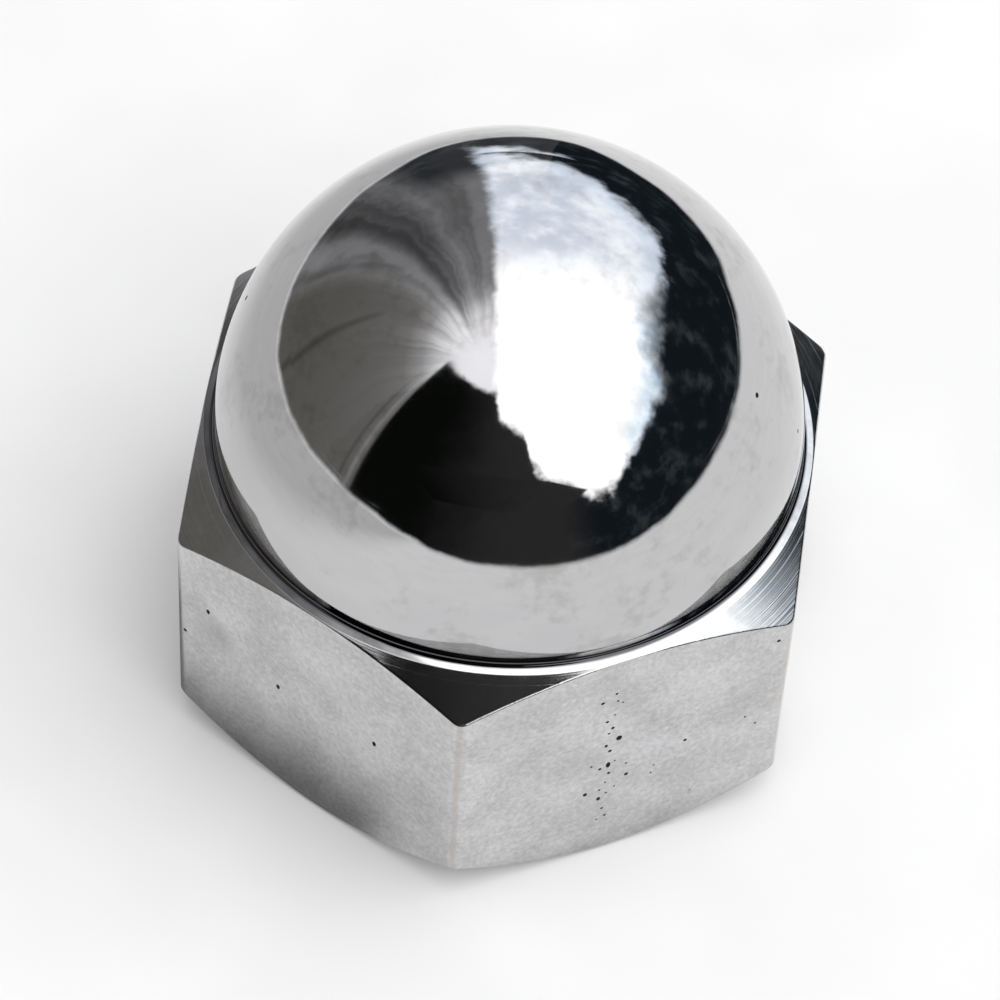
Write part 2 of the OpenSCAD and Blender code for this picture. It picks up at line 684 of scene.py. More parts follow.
def between(value, low_end, high_end, to_low=0, to_high=1):
    """Maps a value smoothly from one range onto another."""
    ends = {"Value": value, "From Min": low_end, "From Max": high_end, "To Min": to_low, "To Max": to_high}
    return after("ShaderNodeMapRange", ends, interpolation_type="SMOOTHSTEP")["Result"]


def blend(share, first, second):
    """Mixes two colours."""
    return after("ShaderNodeMix", {0: share, 6: first, 7: second}, data_type="RGBA")[2]


def cloud_of(vector, scale, detail, roughness=0.62):
    """A cloud of noise, about 0.5 in the mean."""
    inputs = {"Vector": vector, "Scale": scale, "Detail": detail, "Roughness": roughness}
    return after("ShaderNodeTexNoise", inputs)["Fac"]


def bands_of(along, scale, roughness):
    """Uneven bands along one value, about 0.5 in the mean."""
    inputs = {"W": along, "Scale": scale, "Detail": 3.0, "Roughness": roughness}
    return after("ShaderNodeTexNoise", inputs, noise_dimensions="1D")["Fac"]


def bump_of(height, depth, strength=1.0):
    """A normal bent by a height, to a depth in metres."""
    inputs = {"Strength": strength, "Distance": depth, "Height": height}
    return after("ShaderNodeBump", inputs)["Normal"]


def glow_of(tree, colour):
    """A shader that shows one colour in any light."""
    return add(tree, "ShaderNodeEmission", {"Color": colour, "Strength": 1.0}).outputs["Emission"]


def mix_shaders(share, first, second):
    """Mixes two shaders."""
    return after("ShaderNodeMixShader", {0: share, 1: first, 2: second})["Shader"]


def empty_tree(owner):
    """Turns on the nodes of a material or a world, and clears them."""
    owner.use_nodes = True
    owner.node_tree.nodes.clear()
    return owner.node_tree


def start_material(material):
    """An empty tree for a material, and the object's own coordinates in it."""
    tree = empty_tree(material)
    return tree, add(tree, "ShaderNodeTexCoord").outputs["Object"]


def end_material(shader):
    """Hands a shader to the material's output."""
    after("ShaderNodeOutputMaterial", {"Surface": shader})


def new_group(name, values, output, kind="Float"):
    """A node group with a Vector input, named values and one output, and its two end nodes."""
    group = bpy.data.node_groups.new(name, "ShaderNodeTree")
    group.interface.new_socket(name="Vector", in_out="INPUT", socket_type="NodeSocketVector")
    for socket, value in values.items():
        made = group.interface.new_socket(name=socket, in_out="INPUT", socket_type="NodeSocketFloat")
        made.default_value = value
    group.interface.new_socket(name=output, in_out="OUTPUT", socket_type="NodeSocket" + kind)
    given = group.nodes.new("NodeGroupInput").outputs
    out = group.nodes.new("NodeGroupOutput").inputs
    return group, given, out


def place(group, inputs):
    """Puts a node group into a material, with its own values, and gives its output."""
    return after("ShaderNodeGroup", inputs, node_tree=group)[0]


print("node helpers ready")

# %% [markdown]
# ## Four effects of bright plating
#
# Mottle is the cloudy unevenness that a mop leaves on a ground face: large soft
# patches with a finer grain in them. Mop waves are the shallow hills that bend a
# mirror's lines a little. Lathe lines are rings round the axis, so their height
# changes only with the distance from it and along it. Specks are pinholes too
# small to model: the cells of a Voronoi pattern, of which a few hold a dark dot.

# %% Effect groups
MOTTLE_GRAIN = 0.6
MOTTLE_RANGE = (0.5, 1.1)
SPECK_LEAST = 0.4
SPECK_CORE = 0.5


def make_mottle():
    """Cloudy patches from 0 to 1, with a finer grain in them."""
    group, given, out = new_group("mottle", {"Patch Scale": 300.0, "Grain Scale": 2500.0}, "Mask")
    patches = cloud_of(given["Vector"], given["Patch Scale"], detail=3.0, roughness=0.55)
    grain = cloud_of(given["Vector"], given["Grain Scale"], detail=2.0, roughness=0.6)
    both = plus(patches, times(grain, MOTTLE_GRAIN))
    group.links.new(between(both, *MOTTLE_RANGE), out["Mask"])
    return group


def make_mop_waves():
    """A normal bent by the shallow hills that a mop leaves."""
    group, given, out = new_group("mop_waves", {"Scale": 250.0, "Depth": 0.003 * MM}, "Normal", "Vector")
    hills = cloud_of(given["Vector"], given["Scale"], detail=2.0, roughness=0.4)
    group.links.new(bump_of(hills, given["Depth"]), out["Normal"])
    return group


def make_lathe_lines():
    """Heights of rings round the axis, as a turning tool leaves them."""
    group, given, out = new_group("lathe_lines", {"Scale": 6000.0}, "Height")
    parts = parts_of(given["Vector"])
    along = minus(length_of(parts["X"], parts["Y"]), parts["Z"])
    group.links.new(bands_of(along, given["Scale"], roughness=0.7), out["Height"])
    return group


def make_specks():
    """Small dots, 1 inside and 0 outside, in a few of a pattern's cells."""
    group, given, out = new_group("specks", {"Scale": 900.0, "Share": 0.1, "Size": 0.12}, "Mask")
    inputs = {"Vector": given["Vector"], "Scale": given["Scale"]}
    cells = after("ShaderNodeTexVoronoi", inputs)
    lot = after("ShaderNodeSeparateColor", {"Color": cells["Color"]})
    chosen = maths("LESS_THAN", lot["Red"], given["Share"])
    edge = times(given["Size"], plus(lot["Green"], SPECK_LEAST))
    dot = between(cells["Distance"], edge, times(edge, SPECK_CORE))
    group.links.new(times(dot, chosen), out["Mask"])
    return group


mottle = make_mottle()
mop_waves = make_mop_waves()
lathe_lines = make_lathe_lines()
specks = make_specks()
print("effects:", ", ".join(group.name for group in bpy.data.node_groups))

# %% [markdown]
# ## Mirror plating on the dome
#
# Chromium mirrors a little over half of the light, hardly tinted, so a metallic
# surface of that grey gives the right tone wherever it looks. The dome is nearly a
# perfect mirror. In the crease at its foot a dark band is painted into the colour,
# as painted shade. All the finishes read the object's own coordinates, which for
# this nut are metres from the centre of its foot.

# %% Mirror plating
CHROMIUM = (0.545, 0.545, 0.552, 1)
DULLED = (0.46, 0.455, 0.45, 1)
SPECK = (0.05, 0.045, 0.04, 1)
MIRROR_ROUGHNESS = (0.06, 0.03)
DULL_TO = 0.5
CREASE_SHADE = (0.05, 0.048, 0.056, 1)
CREASE_STRENGTH = 0.92
CREASE_TOP = LIP_TOP + 0.6 * MM
CREASE_FULL = LIP_TOP + 0.05 * MM
CREASE_OUT = DOME_R + 0.22 * MM
CREASE_IN = DOME_R + 0.10 * MM


def finish_material(tone, roughness, normal, metallic=1.0):
    """Adds the shader of a finish, with what changes over the surface."""
    inputs = {"Base Color": tone, "Metallic": metallic, "Roughness": roughness, "Normal": normal}
    end_material(after("ShaderNodeBsdfPrincipled", inputs)["BSDF"])


tree, where = start_material(finishes["mirror_plate"])
cloud = place(mottle, {"Vector": where, "Patch Scale": 350.0, "Grain Scale": 1800.0})
dots = place(specks, {"Vector": where, "Scale": 500.0, "Share": 0.03, "Size": 0.06})
waves = place(mop_waves, {"Vector": where, "Scale": 260.0, "Depth": 0.004 * MM})
tone = blend(cloud, DULLED, CHROMIUM)
tone = blend(between(cloud, 0, DULL_TO), tone, CHROMIUM)
axes = parts_of(where)
# Painted shade: a dark band in the crease at the dome's foot, darkest down at the lip.
crease_shade = between(axes["Z"], CREASE_TOP, CREASE_FULL, 0, CREASE_STRENGTH)
from_axis = length_of(axes["X"], axes["Y"])
crease_shade = times(crease_shade, between(from_axis, CREASE_OUT, CREASE_IN))
tone = blend(crease_shade, tone, CREASE_SHADE)
tone = blend(dots, tone, SPECK)
finish_material(tone, between(cloud, 0, 1, *MIRROR_ROUGHNESS), waves)
print("mirror plating, dark from", round(CREASE_TOP / MM, 2), "mm down")

# %% [markdown]
# ## Ground plating on the flats
#
# The flats are a touch rougher and mottled. One has a grey smudge, and along the
# corners the chromium is polished so thin that the yellower nickel below shows.

# %% Ground plating
GROUND = (0.69, 0.685, 0.70, 1)
GROUND_DULL = (0.42, 0.41, 0.405, 1)
NICKEL = (0.43, 0.38, 0.33, 1)
SMUDGE = (0.30, 0.29, 0.285, 1)
GROUND_ROUGHNESS = (0.16, 0.09)
GRAIN_SCALE = 5200.0
GRAIN_RANGE = (0.2, 0.8)
WEAR_WIDTH = 0.02 * MM
WEAR_STRENGTH = 0.4
SMUDGE_PLACE = (-10.26 * MM, -7.82 * MM, 7.09 * MM)
SMUDGE_R = 1.5 * MM
SMUDGE_STRENGTH = 0.9

tree, where = start_material(finishes["flat_plate"])
cloud = place(mottle, {"Vector": where, "Patch Scale": 420.0, "Grain Scale": 4200.0})
grain = between(cloud_of(where, GRAIN_SCALE, detail=2.0), *GRAIN_RANGE)
dots = place(specks, {"Vector": where, "Scale": 700.0, "Share": 0.09, "Size": 0.07})
waves = place(mop_waves, {"Vector": where, "Scale": 400.0, "Depth": 0.006 * MM})
axes = parts_of(where)
from_axis = length_of(axes["X"], axes["Y"])
corner_tip = CORNER_CENTRE_R + CORNER_R
worn = between(from_axis, corner_tip - WEAR_WIDTH, corner_tip, 0, WEAR_STRENGTH)
from_smudge = vector_maths("DISTANCE", where, SMUDGE_PLACE)["Value"]
smudged = between(from_smudge, SMUDGE_R, 0.0, 0, SMUDGE_STRENGTH)
tone = blend(times(plus(cloud, grain), 1 / 2), GROUND_DULL, GROUND)
tone = blend(times(smudged, cloud), tone, SMUDGE)
tone = blend(worn, tone, NICKEL)
tone = blend(dots, tone, SPECK)
finish_material(tone, between(cloud, 0, 1, *GROUND_ROUGHNESS), waves)
print("ground plating, worn from", round((corner_tip - WEAR_WIDTH) / MM, 2), "mm out")

# %% [markdown]
# ## Turned plating on the chamfers
#
# The turned chamfers and the bearing face carry fine lathe lines in their normal.

# %% Turned plating
TURNED_ROUGHNESS = (0.17, 0.11)
GROOVE_DEPTH = 0.008 * MM

tree, where = start_material(finishes["turned_plate"])
rings_height = place(lathe_lines, {"Vector": where, "Scale": 4500.0})
cloud = place(mottle, {"Vector": where, "Patch Scale": 500.0, "Grain Scale": 2500.0})
tone = blend(cloud, DULLED, CHROMIUM)
grooves = bump_of(rings_height, GROOVE_DEPTH)
finish_material(tone, between(cloud, 0, 1, *TURNED_ROUGHNESS), grooves)
print("turned plating, lines", GROOVE_DEPTH / MM, "mm deep at most")

# %% [markdown]
# ## Inside the hole and inside the pits
#
# Plating hardly reaches into a blind hole, so the thread is bare steel with a thin
# grey bloom and a little oil that has dried brown. The pits show no metal at all,
# only the dirt that polishing compound leaves.

# %% Bare finishes
BARE_STEEL = (0.40, 0.39, 0.375, 1)
DRIED_OIL = (0.16, 0.115, 0.075, 1)
OIL_RANGE = (0.1, 0.6)
STEEL_ROUGHNESS = (0.55, 0.3)
CHATTER_DEPTH = 0.002 * MM
COMPOUND = (0.022, 0.019, 0.017, 1)
COMPOUND_PALE = (0.07, 0.06, 0.05, 1)
DIRT_ROUGHNESS = 0.85
GRIT_DEPTH = 0.01 * MM
GRIT_STRENGTH = 0.6

tree, where = start_material(finishes["tapped_steel"])
stain = place(mottle, {"Vector": where, "Patch Scale": 260.0, "Grain Scale": 2200.0})
chatter = place(lathe_lines, {"Vector": where, "Scale": 9000.0})
tone = blend(between(stain, *OIL_RANGE), DRIED_OIL, BARE_STEEL)
scratches = bump_of(chatter, CHATTER_DEPTH)
finish_material(tone, between(stain, 0, 1, *STEEL_ROUGHNESS), scratches)

tree, where = start_material(finishes["pit_dirt"])
crumbs = place(mottle, {"Vector": where, "Patch Scale": 4000.0, "Grain Scale": 20000.0})
tone = blend(crumbs, COMPOUND, COMPOUND_PALE)
grit = bump_of(crumbs, GRIT_DEPTH, GRIT_STRENGTH)
finish_material(tone, DIRT_ROUGHNESS, grit, metallic=0.0)
print("bare finishes: tapped steel and pit dirt")

# %% [markdown]
# ## The floor
#
# The nut stands on a plain pale sheet. From below it would hide the nut, so the
# sheet is clear on its underside, and it has a round opening under the nut, just
# inside the line where the nut touches it, so that light reaches the thread. A
# hint of unevenness keeps its mirror image in the plating from looking painted.

# %% Floor
FLOOR_R = 2.0
OPENING_R = FOOT_R - 0.2 * MM
SHEET_SIDES = 96
PAPER = (0.95, 0.95, 0.95, 1)
PAPER_SHADE = (0.91, 0.91, 0.915, 1)
PAPER_SCALE = 70.0
PAPER_RANGE = (0.35, 0.65)


def round_sheet(name, radius, height):
    """A level round sheet with an opening under the nut."""
    sheet = new_object(
        name, bpy.ops.mesh.primitive_circle_add,
        vertices=SHEET_SIDES, radius=radius, fill_type="NGON", location=(0, 0, height), enter_editmode=True)
    bpy.ops.mesh.select_all(action="SELECT")
    bpy.ops.mesh.inset(thickness=(radius - OPENING_R) * cos(pi / SHEET_SIDES))
    bpy.ops.mesh.delete(type="FACE")
    bpy.ops.object.mode_set(mode="OBJECT")
    bpy.ops.object.transform_apply(location=True)
    return sheet


floor = round_sheet("pale_floor", FLOOR_R, 0)
paper = bpy.data.materials.new("paper")
tree, where = start_material(paper)
cloud = between(cloud_of(where, PAPER_SCALE, detail=2.0), *PAPER_RANGE)
sheet_side = add(tree, "ShaderNodeBsdfDiffuse", {"Color": blend(cloud, PAPER_SHADE, PAPER)})
clear_side = add(tree, "ShaderNodeBsdfTransparent")
facing = add(tree, "ShaderNodeNewGeometry").outputs["Backfacing"]
end_material(mix_shaders(facing, sheet_side.outputs["BSDF"], clear_side.outputs["BSDF"]))
floor.data.materials.append(paper)
print("floor", 2 * FLOOR_R, "m across, faces", len(floor.data.polygons))

# %% [markdown]
# ## The light
#
# One large soft lamp stands high on the right, towards the camera, and the white
# world fills the rest, so that together they light the floor at about its own
# colour. Neither is seen in the plating: what the plating mirrors is the floor
# and the tent.

# %% Light
KEY_AZIMUTH = radians(66)
KEY_ELEVATION = radians(60)
KEY_SOFTNESS = radians(80)
KEY_SHARE = 0.54
FILL_SHARE = 0.53
WHITE = (1, 1, 1, 1)

key = new_object("key_lamp", bpy.ops.object.light_add, type="SUN")
key.rotation_euler = way_to(KEY_AZIMUTH, KEY_ELEVATION).to_track_quat("Z", "Y").to_euler()
key.data.energy = KEY_SHARE * pi / sin(KEY_ELEVATION)
key.data.angle = KEY_SOFTNESS
key.visible_glossy = False

world = bpy.data.worlds.new("white_room")
bpy.context.scene.world = world
world.cycles.sampling_method = "NONE"
tree = empty_tree(world)
rays = add(tree, "ShaderNodeLightPath").outputs
shown = maths("MAXIMUM", rays["Is Camera Ray"], rays["Is Glossy Ray"])
shown = maths("MAXIMUM", shown, rays["Is Transmission Ray"])
fill = add(tree, "ShaderNodeBackground", {"Color": WHITE, "Strength": FILL_SHARE}).outputs[0]
backdrop = add(tree, "ShaderNodeBackground", {"Color": WHITE, "Strength": 1.0}).outputs[0]
add(tree, "ShaderNodeOutputWorld", {"Surface": mix_shaders(shown, fill, backdrop)})
print("floor light:", KEY_SHARE + FILL_SHARE)

# %% [markdown]
# ## The tent
#
# A ball mirrors the whole room, so a bright plated thing is put in a tent, which
# decides what it may show. This tent is half a ball of cloth a metre away. Its
# cloth glows with painted tones that light nothing, so all it gives is a painted
# reflection in the plating. Over the right side the glow is a white soft box with a
# ragged lower edge, no lamp, over a dark hedge. On the left there are a dark
# doorway, a grey wall and a bright eave. Only mirror rays see the tent: it throws
# no light or shadow on the floor.
#
# The cloth is painted by direction. Seen from the middle of the ball, every point
# has an azimuth, 0 towards the camera and positive to its right, and an elevation.
# The boards of the eave run back and left from above the doorway, so they are
# painted by a second pair of values: the turn about that point and the distance
# from it, on a plan of the tent.

# %% Directions of the tent
TENT_R = 1.0
FAN_RIGHT = -0.13
FAN_FRONT = 0.35


def turn_of(x, y):
    """The angle whose tangent is x over y, in degrees."""
    return maths("DEGREES", maths("ARCTAN2", x, y))


cloth = bpy.data.materials.new("tent_cloth")
tree, where = start_material(cloth)
from_ball = vector_maths("SUBTRACT", where, (0, 0, BALL_Z))["Vector"]
unit = vector_maths("NORMALIZE", from_ball)["Vector"]
parts = parts_of(unit)
right_part = parts["X"]
front_part = times(parts["Y"], -1.0)
azimuth = turn_of(right_part, front_part)
elevation = maths("DEGREES", maths("ARCSINE", parts["Z"]))

fan_left = minus(FAN_RIGHT, right_part)
fan_back = minus(FAN_FRONT, front_part)
fan_turn = turn_of(fan_back, fan_left)
fan_reach = length_of(fan_left, fan_back)

spot = parts_of(where)
rise = turn_of(spot["Z"], length_of(spot["X"], spot["Y"]))
print("tent radius", TENT_R, "m")

# %% [markdown]
# ## Curves and noises of the tent
#
# A curve node holds each listed line: the soft box's lower edge for each
# azimuth, how far the eave's light reaches, and how bright its boards are. Noise
# then roughens the edges, clouds the box and the hedge, and streaks the boards.

# %% Curves of the tent
# Azimuth, then elevation of the soft box's lower edge
SOFT_BOX_EDGE = [
    (-180, 7), (-172, 5), (-166, 0), (-40, 0), (-20, 55), (-8, 62), (0, 50), (13, 45), (16, 33),
    (22, 27), (30, 24), (40, 17), (50, 18), (60, 25), (75, 29), (90, 32), (105, 35), (115, 36),
    (125, 32), (140, 24), (150, 19), (165, 15), (173, 10), (180, 7),
]
# Turn in the fan, then how much further out the eave's light fades
EAVE_SHIFT = [
    (-40, 0), (0, 0), (25, 0.04), (35, 0.08), (48, 0.10), (56, 0.12), (62, 0.04), (70, 0.08), (90, 0.10),
]
# Distance in the fan, then the share of the eave's light
EAVE_FADE = [(0, 1), (0.2, 0.95), (0.3, 0.71), (0.4, 0.29), (0.5, 0.1), (0.62, 0.05), (0.9, 0)]
# Turn in the fan, then brightness of the wall and of the eave's boards far out
BOARD_TONE = [
    (-40, 0.9), (45, 0.9), (53, 1.5), (58, 1.2), (62, 0.55), (67, 0.6), (71, 1.2), (80, 1.2),
    (86, 1.8), (90, 1.8),
]
RAGGED_SCALE = 7.0
CLOUD_SCALE = 3.2
STREAK_SCALE = 0.12
WOBBLE_DEGREES = 16.0
BEND_DEGREES = 14.0


def hand_curve(value, points, top):
    """A value from 0 to top that follows the given (place, height) points."""
    first = points[0][0]
    span = points[-1][0] - first
    ends = {"Value": value, "From Min": first, "From Max": first + span}
    share = after("ShaderNodeMapRange", ends)["Result"]
    curve = add(share.id_data, "ShaderNodeFloatCurve", {"Value": share})
    spots = curve.mapping.curves[0].points
    for spot, (at, height) in zip((spots[0], spots[-1]), (points[0], points[-1])):
        spot.location = ((at - first) / span, height / top)
    for at, height in points[1:-1]:
        spots.new((at - first) / span, height / top)
    for spot in spots:
        spot.handle_type = "VECTOR"
    curve.mapping.update()
    return times(curve.outputs["Value"], float(top))


ragged = cloud_of(unit, RAGGED_SCALE, detail=6.0)
clouds = cloud_of(unit, CLOUD_SCALE, detail=4.0)
wobble = times(minus(ragged, 1 / 2), WOBBLE_DEGREES)
bent_turn = plus(fan_turn, times(clouds, BEND_DEGREES))
streaks = bands_of(bent_turn, STREAK_SCALE, roughness=0.6)

box_edge = hand_curve(azimuth, SOFT_BOX_EDGE, 90)
eave_reach = minus(fan_reach, hand_curve(fan_turn, EAVE_SHIFT, 0.5))
eave_light = hand_curve(eave_reach, EAVE_FADE, 1)
board_tone = hand_curve(fan_turn, BOARD_TONE, 3)
point_count = sum(len(points) for points in (SOFT_BOX_EDGE, EAVE_SHIFT, EAVE_FADE, BOARD_TONE))
print("tent curves:", point_count, "points")

# %% [markdown]
# ## The wall and the eave
#
# The tones are laid over each other, from the back to the front. First comes the
# wall with its upright lines, the boards of the eave on it, and the eave's light,
# which is painted light on the cloth.

# %% Wall and eave
DOORWAY_BLACK = (0.004, 0.005, 0.004, 1)
WALL_GREY = (0.165, 0.160, 0.146, 1)
BOARD_GREY = (0.175, 0.175, 0.182, 1)
EAVE_BRIGHT = (1.50, 1.48, 1.52, 1)
# Azimuth, half width and top of each line on the wall, in degrees, then its strength
WALL_LINES = [(-121, 2.2, 36, 0.25), (-98, 2.4, 38, 0.4), (-58, 1.3, 56, 0.45)]
POST = (-54.5, 1.4, 57, 0.10)
LINE_TOP_SOFT = 6.0
# Turns in the fan, values of the streaks and distances in the fan, each with its effect
BOARDS_BEGIN = (42.0, 56.0)
STREAK_TONES = (0.3, 0.7, -0.3, 0.3)
STREAK_DIMS = (0.6, 0.35, 0, 0.4)
DIMMED_FROM = (0.12, 0.4)


def wall_line(azimuth, elevation, line):
    """The share of an upright line on the wall: azimuth, half width, top and strength."""
    middle, half_width, top, strength = line
    aside = maths("ABSOLUTE", minus(azimuth, float(middle)))
    across = between(aside, half_width, 0.0, 0, strength)
    return times(across, between(elevation, top + LINE_TOP_SOFT, float(top)))


on_boards = between(fan_turn, *BOARDS_BEGIN)
streak_share = plus(times(between(streaks, *STREAK_TONES), on_boards), 1.0)
board_light = times(board_tone, streak_share)
boards = blend(on_boards, WALL_GREY, BOARD_GREY)
boards = after("ShaderNodeVectorMath", {0: boards, "Scale": board_light}, operation="SCALE")[0]
for line in WALL_LINES:
    boards = blend(wall_line(azimuth, elevation, line), boards, DOORWAY_BLACK)
boards = blend(wall_line(azimuth, elevation, POST), boards, EAVE_BRIGHT)
# Painted light: the eave's glow, dimmed along the streaks, lies over the boards.
dimmed = times(between(streaks, *STREAK_DIMS), between(fan_reach, *DIMMED_FROM))
lit = times(eave_light, minus(1.0, dimmed))
painted = blend(lit, boards, EAVE_BRIGHT)
print("wall with", len(WALL_LINES), "dark lines and a post")

# %% [markdown]
# ## The doorway and the hedge
#
# The doorway is black and turns to a plain dark tone on its right. The hedge
# follows to the right of that, and a low piece of it stands at the back.

# %% Doorway and hedge
PLAIN_DARK = (0.036, 0.034, 0.035, 1)
HEDGE_DEEP = (0.010, 0.014, 0.018, 1)
HEDGE_PALE = (0.052, 0.064, 0.070, 1)
LEAVES = (0.5, 0.72)
# Azimuths and elevations between which each tone comes in, in degrees
PLAIN_BEGINS = (-30.0, 10.0)
HEDGE_BEGINS = (25.0, 40.0)
DOORWAY_LEFT = (-53.0, -51.5)
DOORWAY_TOP = (62.0, 59.5)
DOORWAY_RAGGED = 0.3
DARK_BEGINS = (-4.0, -1.0)
BACK_HEDGE_BEGINS = (-146.0, -156.0)
BACK_HEDGE_TOP = (26.0, 8.0, 0, 0.85)

hedge = blend(between(ragged, *LEAVES), HEDGE_DEEP, HEDGE_PALE)
ragged_azimuth = plus(azimuth, wobble)
dark = blend(between(ragged_azimuth, *PLAIN_BEGINS), DOORWAY_BLACK, PLAIN_DARK)
dark = blend(between(azimuth, *HEDGE_BEGINS), dark, hedge)
ragged_top = plus(elevation, times(wobble, DOORWAY_RAGGED))
doorway_top = between(ragged_top, *DOORWAY_TOP)
under_door = times(between(azimuth, *DOORWAY_LEFT), doorway_top)
in_dark = maths("MAXIMUM", under_door, between(azimuth, *DARK_BEGINS))
painted = blend(in_dark, painted, dark)
at_back = between(azimuth, *BACK_HEDGE_BEGINS)
at_back = times(at_back, between(elevation, *BACK_HEDGE_TOP))
painted = blend(at_back, painted, hedge)
print("doorway and hedge painted")

# %% [markdown]
# ## The soft box
# The box comes last: a painted glow, which lights nothing. It turns bluish low
# down and at the back, as daylight does, and its lower edge is softest over the
# high hedge on the right. The lowest strip all round is painted in the floor's
# tone, a painted reflection of the floor's sheet as if turned up a little, so that
# the mirrored floor's end is soft.

# %% Soft box
# The soft box is painted glow on the cloth, seen only in the plating; it is no lamp.
BOX_WHITE = (2.2, 2.2, 2.2, 1)
BOX_BLUE = (1.05, 1.35, 1.65, 1)
BOX_FAR = (1.02, 1.12, 1.27, 1)
# Azimuths, and degrees above the lower edge, between which each share comes in
HIGH_HEDGE_BEGINS = (82.0, 100.0)
HIGH_HEDGE_ENDS = (135.0, 118.0)
HIGH_HEDGE_SOFT = 10.0
EDGE_BELOW = -2.0
EDGE_ABOVE = 4.0
BLUE_BEGINS = (45.0, 75.0)
BLUE_ENDS = (15.0, 4.0)
# Parts of the direction to the right and to the front
BOX_LEFT = 0.115
BOX_LEFT_SLANT = 0.12
BOX_LEFT_RAGGED = 0.006
BOX_LEFT_SOFT = (-0.035, 0.025)
FAR_BEGINS = (-0.22, -0.62)
BLUE_PATCHES = (0.35, 0.6, 0.5, 1.0)
# The strip painted in the floor's tone, a painted reflection, in degrees above the level
SHEET_END = (0.88, 0.88, 0.89, 1)
SHEET_RISE = 2.4
SHEET_SOFT_FROM = 0.2
SHEET_RAGGED = 0.16

above = minus(plus(elevation, wobble), box_edge)
high_hedge = between(azimuth, *HIGH_HEDGE_BEGINS)
high_hedge = times(high_hedge, between(azimuth, *HIGH_HEDGE_ENDS))
soft_to = plus(times(high_hedge, HIGH_HEDGE_SOFT), EDGE_ABOVE)
above_edge = between(above, EDGE_BELOW, soft_to)
left_limit = minus(times(front_part, BOX_LEFT_SLANT), BOX_LEFT)
past_left = minus(right_part, left_limit)
past_left = plus(past_left, times(wobble, BOX_LEFT_RAGGED))
in_box = times(above_edge, between(past_left, *BOX_LEFT_SOFT))
far = between(front_part, *FAR_BEGINS)
low_edge = times(between(above, *BLUE_ENDS), between(azimuth, *BLUE_BEGINS))
patchy = between(clouds, *BLUE_PATCHES)
box = blend(times(low_edge, patchy), BOX_WHITE, BOX_BLUE)
box = blend(times(far, patchy), box, BOX_FAR)
# Painted glow: the soft box is laid over all the rest.
painted = blend(in_box, painted, box)

# Painted reflection: the lowest strip takes the floor's tone.
ragged_rise = plus(rise, times(wobble, SHEET_RAGGED))
painted = blend(between(ragged_rise, SHEET_SOFT_FROM, SHEET_RISE), SHEET_END, painted)
end_material(glow_of(tree, painted))
print("tent painted with", len(tree.nodes), "nodes")

# %% [markdown]
# ## Hanging the tent
#
# The tent is the upper half of a sphere, cut off by a bisect at the floor. A low
# wall of the same cloth goes round the nut where the mirrored floor is to end,
# which is set for each direction as an angle below the level.

# %% Tent and low wall
TENT_SEGMENTS = 64
TENT_RINGS = 32
WALL_TOP = 25 * MM
WALL_PARTS = 192
# Angle below the level at which the floor ends, every 15 degrees from the camera's side
FLOOR_ENDS = [4.0, 4.3, 4.5, 4.1, 3.0, 1.4, 0.3, 0, 0, 0.7, 3.2, 4.7,
              8.2, 6.9, 3.5, 1.8, 2.2, 2.7, 2.1, 1.2, 0.4, 0.5, 1.7, 3.3]


def floor_end(index):
    """Distance at which the floor ends, in one of the wall's directions."""
    place = index * len(FLOOR_ENDS) / WALL_PARTS
    start = int(place)
    share = (1 - cos(pi * (place - start))) / 2
    angle = FLOOR_ENDS[start] * (1 - share) + FLOOR_ENDS[(start + 1) % len(FLOOR_ENDS)] * share
    return BALL_Z / tan(radians(angle + SHEET_RISE / 2))


def only_mirrored(piece, material):
    """Hides a stage piece from everything but mirror rays."""
    for rays in ("camera", "diffuse", "transmission", "volume_scatter", "shadow"):
        setattr(piece, "visible_" + rays, False)
    piece.data.materials.append(material)


tent = new_object(
    "tent", bpy.ops.mesh.primitive_uv_sphere_add,
    segments=TENT_SEGMENTS, ring_count=TENT_RINGS, radius=TENT_R, enter_editmode=True)
bpy.ops.mesh.select_all(action="SELECT")
bpy.ops.mesh.bisect(plane_co=(0, 0, 0), plane_no=(0, 0, 1), clear_inner=True)
bpy.ops.object.mode_set(mode="OBJECT")
only_mirrored(tent, cloth)

low_wall = new_object(
    "low_wall", bpy.ops.mesh.primitive_circle_add, vertices=WALL_PARTS, radius=1, enter_editmode=True)
bpy.ops.mesh.select_all(action="SELECT")
wall_sheet = bmesh.from_edit_mesh(low_wall.data)
for index, vert in enumerate(in_order(wall_sheet.verts)):
    vert.co *= floor_end(index)
bmesh.update_edit_mesh(low_wall.data)
bpy.ops.mesh.extrude_region_move(TRANSFORM_OT_translate={"value": (0, 0, WALL_TOP)})
bpy.ops.object.mode_set(mode="OBJECT")
only_mirrored(low_wall, cloth)
print("tent of", len(tent.data.polygons), "faces, low wall of", WALL_PARTS, "parts")

# %% [markdown]
# ## The black card
#
# A small black card is held over the front corner. The front chamfer looks
# straight up at it and turns black, while the dome mirrors the card where it is
# dark anyway. A wing, pulled back at its near corner, makes it longer on the right.
# Only mirror rays see the card, so it is a painted dark reflection and casts no
# shadow.

# %% Black card
CARD_CENTRE = (-1.3 * MM, -18 * MM, 23 * MM)
CARD_SIZE = (11.6 * MM, 8.8 * MM, 1)
CARD_WING = 4.5 * MM
CARD_TAPER = -1.6 * MM
CARD_DARK_END = -7 * MM
CARD_PALE_END = 5 * MM


def select_verts(mesh, wanted):
    """Selects the vertices of a mesh in edit mode whose place is wanted."""
    bpy.ops.mesh.select_all(action="DESELECT")
    sheet = bmesh.from_edit_mesh(mesh)
    for vert in sheet.verts:
        vert.select_set(wanted(vert.co))
    sheet.select_flush_mode()
    bmesh.update_edit_mesh(mesh)


